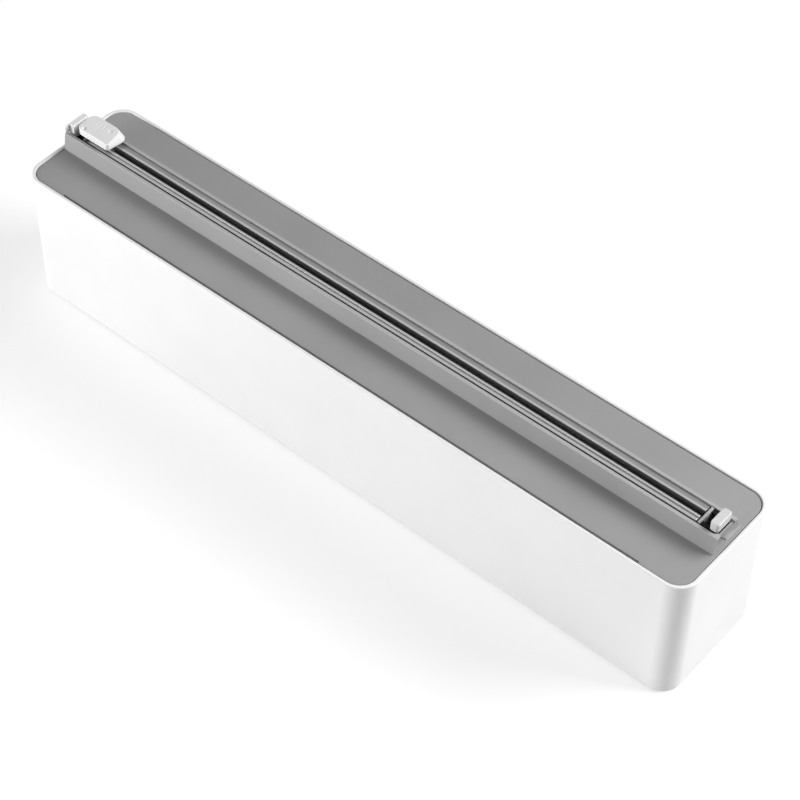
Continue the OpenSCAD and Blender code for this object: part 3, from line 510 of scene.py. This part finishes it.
# pull tab, dished behind its lip
tab = {"x": (166.75, 169.25), "y": (-3.25, 6.85), "z": (71.8, 73.1), "intoWall": 0.2,
       "step": (168.0, 5.65), "lip": 0.6, "lipUp": 0.3, "edge": 0.2}
lipX, lipTop = tab["x"][1] - tab["lip"], tab["z"][1] + tab["lipUp"]
acrossY = (tab["y"][0] - over, tab["y"][1] + over)
bm = block((tab["x"][0] - tab["intoWall"], tab["x"][1]), tab["y"], (tab["z"][0], lipTop))
corner = block((tab["step"][0], tab["x"][1] + over), (tab["step"][1], acrossY[1]),
               (tab["z"][0] - over, lipTop + over))
above = block((tab["x"][0] - over, lipX), acrossY, (tab["z"][1], lipTop + over))
dish = trough(rail["dishX"], acrossY, sunkTop, rail["dishHalf"], rail["dishDepth"])
bm = shaped(bm, cut=[corner, above, dish])
finished(bm, "pullTab", "lid", ["pull_tab"], greyLid, tab["edge"])

# guide strips of the cutter bar, hollow on the side that faces the blade
strips = {"x": (-157.05, 155.65), "z": (67.0, 73.0), "front": (-3.4, -0.35), "rear": (2.65, 6.13),
          "hollow": (68.5, 70.7), "side": 1.3, "groove": (-2.15, -1.35), "grooveDepth": 0.5,
          "rib": 0.95, "shelf": 72.45, "frontEdge": 0.18, "rearEdge": 0.08}
longX = (strips["x"][0] - over, strips["x"][1] + over)
stripAbove = strips["z"][1] + over
bm = block(strips["x"], strips["front"], strips["z"])
hollow = block(longX, (strips["front"][0] + strips["side"], strips["front"][1] + over),
               strips["hollow"])
groove = block(longX, strips["groove"], (strips["z"][1] - strips["grooveDepth"], stripAbove))
bm = shaped(bm, cut=[hollow, groove])
finished(bm, "stripFront", "bar", ["strip_front"], stripMetal, strips["frontEdge"])
bm = block(strips["x"], strips["rear"], strips["z"])
hollow = block(longX, (strips["rear"][0] - over, strips["rear"][1] - strips["side"]),
               strips["hollow"])
shelf = block(longX, (strips["rear"][0] + strips["rib"], strips["rear"][1] + over),
              (strips["shelf"], stripAbove))
bm = shaped(bm, cut=[hollow, shelf])
finished(bm, "stripRear", "bar", ["strip_rear"], stripMetal, strips["rearEdge"])

# caps that join the strips at both ends
caps = {"y": (-3.4, 5.85), "low": 65.9, "barLow": 67.0, "wallTop": 72.9,
        "leftX": (-164.6, -158.75), "leftTop": 68.2, "leftWall": -159.85, "leftLug": -152.05,
        "rightX": (156.35, 164.85), "rightTop": 66.9, "rightWall": 157.45, "rightLug": 150.65,
        "lugIn": 0.5, "lugGap": (-0.2, 2.5), "cornerCut": 1.4, "screwX": (-154.55, 153.15),
        "screwY": (-1.75, 4.125), "blockScrew": (-162.8, 1.15),
        "housingScrews": ((161.15, -0.75), (161.15, 3.05)), "edge": 0.15}


def barCap(name, node, bm, wall, fillerX, lugX, screws):
    # joins the cross wall, the floor under the strips' ends and two lugs to the end part bm
    underBar = (caps["low"], caps["barLow"])
    lugsY = ((caps["y"][0], caps["lugGap"][0]), (caps["lugGap"][1], caps["y"][1]))
    lugs = [block(lugX, y, underBar) for y in lugsY]
    bm = shaped(bm, add=[wall, block(fillerX, caps["y"], underBar), *lugs])
    bm = shaped(bm, cut=[countersink(x, y, caps["low"]) for x, y in screws])
    finished(bm, name, "bar", [node], greyLid, caps["edge"])


stripScrews = [[(x, y) for y in caps["screwY"]] for x in caps["screwX"]]
bm = block(caps["leftX"], caps["y"], (caps["low"], caps["leftTop"]))
wall = block((caps["leftWall"], caps["leftX"][1]), caps["y"], (caps["barLow"], caps["wallTop"]))
barCap("leftCap", "left_cap", bm, wall, (caps["leftX"][1] - over, strips["x"][0]),
       (longX[0], caps["leftLug"]), [*stripScrews[0], caps["blockScrew"]])
bm = block(caps["rightX"], caps["y"], (caps["low"], caps["rightTop"]))
roundOff(bm, cornerAt(caps["rightX"][1], caps["y"][1:]), caps["cornerCut"], segments=6)
wall = block((caps["rightX"][0], caps["rightWall"]), caps["y"], (caps["low"], caps["wallTop"]))
barCap("rightCap", "right_cap", bm, wall, (strips["x"][1], caps["rightX"][0] + over),
       (caps["rightLug"], strips["x"][1] + caps["lugIn"]),
       [*stripScrews[1], *caps["housingScrews"]])
print("cutter bar made")

# hinge block, with a round knuckle about its pin
hinge = {"x": (-168.05, -164.65), "y": (-3.4, 5.5), "top": 77.3, "topRound": 1.0,
         "knuckle": 3.15, "pinX": -166.15, "pinZ": 69.0, "pinRadius": 0.96, "pinY": 1,
         "pinLength": 20, "footX": -161.05, "footY": (-2.4, 4.85), "footZ": (68.2, 69.8),
         "trimX": (-190, 0), "trimY": (-9, 9), "trimZ": (60, 80), "edge": 0.25}
bm = block(hinge["x"], hinge["y"], (hinge["pinZ"], hinge["top"]))
atTop = atHeight(hinge["top"])
roundOff(bm, lambda a, b: atTop(a, b) and near(a.x, b.x), hinge["topRound"], segments=6)
knuckle = rod((hinge["pinX"], sum(hinge["y"]) / 2, hinge["pinZ"]), hinge["knuckle"],
              hinge["y"][1] - hinge["y"][0], "Y")
trims = [block(x, hinge["trimY"], hinge["trimZ"])
         for x in ((hinge["x"][1], hinge["trimX"][1]), (hinge["trimX"][0], hinge["x"][0]))]
knuckle = shaped(knuckle, cut=trims)
foot = block((hinge["x"][1] - over, hinge["footX"]), hinge["footY"], hinge["footZ"])
bm = shaped(bm, add=[knuckle, foot])
pinHole = rod((hinge["pinX"], hinge["pinY"], hinge["pinZ"]), hinge["pinRadius"],
              hinge["pinLength"], "Y", sides=32)
bm = shaped(bm, cut=[pinHole])
finished(bm, "hingeBlock", "bar", ["hinge_block"], whiteTrim, hinge["edge"])

# latch housing, a tunnel for the bolt that is open above
housing = {"x": (157.45, 164.85), "y": (-3.4, 5.85), "z": (66.9, 72.5), "cornerCut": 1.4,
           "tunnelX": (150, 170), "tunnelY": (-2.5, 4.95), "tunnelZ": (67.5, 71.8),
           "openY": (-1.4, 3.85), "openZ": (71.3, 75), "edge": 0.12}
bm = block(housing["x"], housing["y"], housing["z"])
roundOff(bm, cornerAt(housing["x"][1], housing["y"][1:]), housing["cornerCut"], segments=6)
tunnel = block(housing["tunnelX"], housing["tunnelY"], housing["tunnelZ"])
openTop = block(housing["tunnelX"], housing["openY"], housing["openZ"])
bm = shaped(bm, cut=[tunnel, openTop])
finished(bm, "latchHousing", "bar", ["latch_housing"], paintedShadeBlack, housing["edge"])

# latch bolt, with its nose, the stem that carries the knob and the bore for the spring
bolt = {"x": (161.35, 164.85), "y": (-2.3, 4.75), "z": (67.7, 71.6),
        "noseX": 165.15, "noseY": (-0.85, 3.15), "noseZ": (68.4, 70.6),
        "stemX": (162.15, 164.35), "stemY": (-1.05, 3.35), "stemTop": 74.88,
        "boreEnd": 164.55, "boreY": 1.15, "boreZ": 69.65, "boreRadius": 1.6, "boreLength": 6,
        "edge": 0.15}
bm = block(bolt["x"], bolt["y"], bolt["z"])
nose = block((bolt["x"][1] - over, bolt["noseX"]), bolt["noseY"], bolt["noseZ"])
stem = block(bolt["stemX"], bolt["stemY"], (bolt["z"][1] - over, bolt["stemTop"]))
bore = rod((bolt["boreEnd"] - bolt["boreLength"] / 2, bolt["boreY"], bolt["boreZ"]),
           bolt["boreRadius"], bolt["boreLength"], "X", sides=40)
bm = shaped(bm, add=[nose, stem])
bm = shaped(bm, cut=[bore])
finished(bm, "latchBolt", "latch", ["latch_bolt"], paintedShadeBlack, bolt["edge"])

# latch knob, with a seat for the bolt's stem
knob = {"x": (161.35, 165.15), "y": (-3.425, 5.875), "z": (72.98, 77.0), "corner": 1.2,
        "topRound": 0.45, "stemRoom": 0.02}
bm = block(knob["x"], knob["y"], knob["z"])
roundOff(bm, upright, knob["corner"], segments=6)
roundOff(bm, atHeight(knob["z"][1]), knob["topRound"], segments=4)
room = knob["stemRoom"]
stemSeat = block((bolt["stemX"][0] - room, bolt["stemX"][1] + room),
                 (bolt["stemY"][0] - room, bolt["stemY"][1] + room),
                 (knob["z"][0] - over, bolt["stemTop"] + room))
bm = shaped(bm, cut=[stemSeat])
finished(bm, "latchKnob", "latch", ["latch_knob"], shadedKnobTrim)

# return spring: the imported coil, on a mesh of its own
bm = bmesh.new()
bm.from_mesh(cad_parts["latch_spring"].data)
bmesh.ops.scale(bm, vec=(1 / mm, 1 / mm, 1 / mm), verts=bm.verts)
bmesh.ops.remove_doubles(bm, verts=bm.verts, dist=weld)
coil = finished(bm, "latchSpring", "bar", ["latch_spring"], darkSteel)
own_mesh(coil)
print("latch made")

# slider cap: its right end slopes back more and more towards the rear
# mark: x, y, half width, depth; groove and ridges: span along Y, half width, depth, run-out
slider = {"x": (-163.6, -143.95), "y": (-3.1, 7.8), "z": (74.6, 77.8), "leftCorner": 3.2,
          "backCorner": 3.2, "frontCorner": 1.2, "sideHeight": 1.0, "footSkew": (1.5, 0.0),
          "topSkew": (1.1, 3.3), "topEdge": 0.55, "mark": (-160.0, -1.5, 1.15, 0.75),
          "grooveX": -150.2, "groove": ((2.2, 6.2), 0.85, 0.34, 1.2),
          "ridgesX": (-157.2, -155.5, -153.8, -152.1), "ridge": ((1.4, 6.9), 0.5, 0.16, 1.5),
          "postX": -152.25, "postSpan": 2.3, "postY": 1.15, "postRadius": 1.03, "postUp": 2.25}
low, top = slider["z"]
bm = block(slider["x"], slider["y"], slider["z"])
roundOff(bm, cornerAt(slider["x"][0], slider["y"]), slider["leftCorner"], segments=10)
roundOff(bm, cornerAt(slider["x"][1], slider["y"][1:]), slider["backCorner"], segments=10)
roundOff(bm, cornerAt(slider["x"][1], slider["y"][:1]), slider["frontCorner"], segments=6)
cutAcross(bm, (0, 0, low + slider["sideHeight"]), (0, 0, 1))
rightFrom = slider["x"][1] - slider["backCorner"] - slack
for v in bm.verts:
    if v.co.x > rightFrom:
        share = (v.co.y - slider["y"][0]) / (slider["y"][1] - slider["y"][0])
        atFront, atBack = slider["topSkew"] if near(v.co.z, top) else slider["footSkew"]
        v.co.x -= atFront + (atBack - atFront) * share
roundOff(bm, atHeight(top), slider["topEdge"], segments=5)
markX, markY, markHalf, markDepth = slider["mark"]
markRadius = hollowRadius(markHalf, markDepth)
ball = bmesh.new()
bmesh.ops.create_uvsphere(ball, u_segments=64, v_segments=64, radius=markRadius)
bmesh.ops.translate(ball, vec=(markX, markY, top + markRadius - markDepth), verts=ball.verts)
troughs = [(slider["grooveX"], slider["groove"])]
troughs += [(x, slider["ridge"]) for x in slider["ridgesX"]]
hollows = [ball]
for x, (spanY, half, depth, runOut) in troughs:
    hollows.append(trough(x, spanY, top, half, depth, runOut))
for side in (-1, 1):
    hollows.append(rod((slider["postX"] + side * slider["postSpan"], slider["postY"], low),
                       slider["postRadius"], 2 * slider["postUp"], "Z", sides=32))
bm = shaped(bm, cut=hollows)
finished(bm, "sliderCap", "slider", ["slider_cap"], whiteTrim)
print("slider made")

# floor, which the camera sees a little brighter than the light makes it
stage = {"size": 6, "colour": grey(0.62), "roughness": 0.9, "specular": 0.0, "lift": 0.5}
bm = bmesh.new()
bmesh.ops.create_grid(bm, x_segments=1, y_segments=1, size=stage["size"] / 2)
floor = stand(bm, "floor")
finish, nodes, links = newFinish("paleFloor")
shader = nodes["Principled BSDF"]
shader.inputs["Base Color"].default_value = (*stage["colour"], 1)
shader.inputs["Roughness"].default_value = stage["roughness"]
shader.inputs["Specular IOR Level"].default_value = stage["specular"]
glow = nodes.new("ShaderNodeEmission")
path = nodes.new("ShaderNodeLightPath")
lift = nodes.new("ShaderNodeMath")
lift.operation = "MULTIPLY"
lift.inputs[1].default_value = stage["lift"]
links.new(path.outputs["Is Camera Ray"], lift.inputs[0])
links.new(lift.outputs[0], glow.inputs["Strength"])
both = nodes.new("ShaderNodeAddShader")
links.new(shader.outputs[0], both.inputs[0])
links.new(glow.outputs[0], both.inputs[1])
links.new(both.outputs[0], nodes["Material Output"].inputs["Surface"])
floor.data.materials.append(finish)

# white room, weaker as a light than as the camera and the reflections see it
room = {"asLight": 0.3, "asSeen": 1.0}
world = bpy.data.worlds.new("studio")
scene.world = world
world.use_nodes = True
nodes, links = world.node_tree.nodes, world.node_tree.links
backdrop = nodes["Background"]
path = nodes.new("ShaderNodeLightPath")
seen = nodes.new("ShaderNodeMath")
seen.operation = "MAXIMUM"
links.new(path.outputs["Is Camera Ray"], seen.inputs[0])
links.new(path.outputs["Is Glossy Ray"], seen.inputs[1])
level = nodes.new("ShaderNodeMapRange")
level.inputs["To Min"].default_value = room["asLight"]
level.inputs["To Max"].default_value = room["asSeen"]
links.new(seen.outputs[0], level.inputs["Value"])
links.new(level.outputs["Result"], backdrop.inputs["Strength"])
backdrop.inputs["Color"].default_value = (1, 1, 1, 1)


def softbox(name, place, target, size, power):
    lamp = bpy.data.lights.new(name, "AREA")
    lamp.shape, lamp.size, lamp.size_y, lamp.energy = "RECTANGLE", size[0], size[1], power
    lamp.color = (1, 1, 1)
    holder = bpy.data.objects.new(name, lamp)
    scene.collection.objects.link(holder)
    holder.location = place
    holder.rotation_mode = "QUATERNION"
    holder.rotation_quaternion = (Vector(target) - Vector(place)).to_track_quat("-Z", "Y")


# place, target and size in metres, power in watts
lights = {"above": ((0.62, 0.55, 0.66), (0.05, 0, 0.05), (0.7, 0.4), 10.0),
          "front": ((-0.82, -1.02, 0.21), (0, 0, 0.04), (0.6, 0.34), 15.2),
          "right": ((0.92, 0.62, 0.42), (0.05, 0, 0.04), (0.5, 0.5), 1.8)}
for lampName, (place, target, size, power) in lights.items():
    softbox(lampName, place, target, size, power)

# camera, as solved from the photo
view = {"place": (0.41274, -0.49032, 0.74039), "forward": (-0.42104, 0.51591, -0.74603),
        "up": (-0.48711, 0.56522, 0.66577), "lens": 105.88, "sensor": 36, "clip": (0.05, 20)}
camera = bpy.data.objects.new("camera", bpy.data.cameras.new("camera"))
scene.collection.objects.link(camera)
scene.camera = camera
back = -Vector(view["forward"]).normalized()
right = Vector(view["up"]).cross(back).normalized()
turned = Matrix((right, back.cross(right), back)).transposed().to_4x4()
camera.matrix_world = Matrix.Translation(view["place"]) @ turned
camera.data.sensor_width, camera.data.lens = view["sensor"], view["lens"]
camera.data.clip_start, camera.data.clip_end = view["clip"]
scene.view_settings.view_transform = "Standard"
print("stage ready")
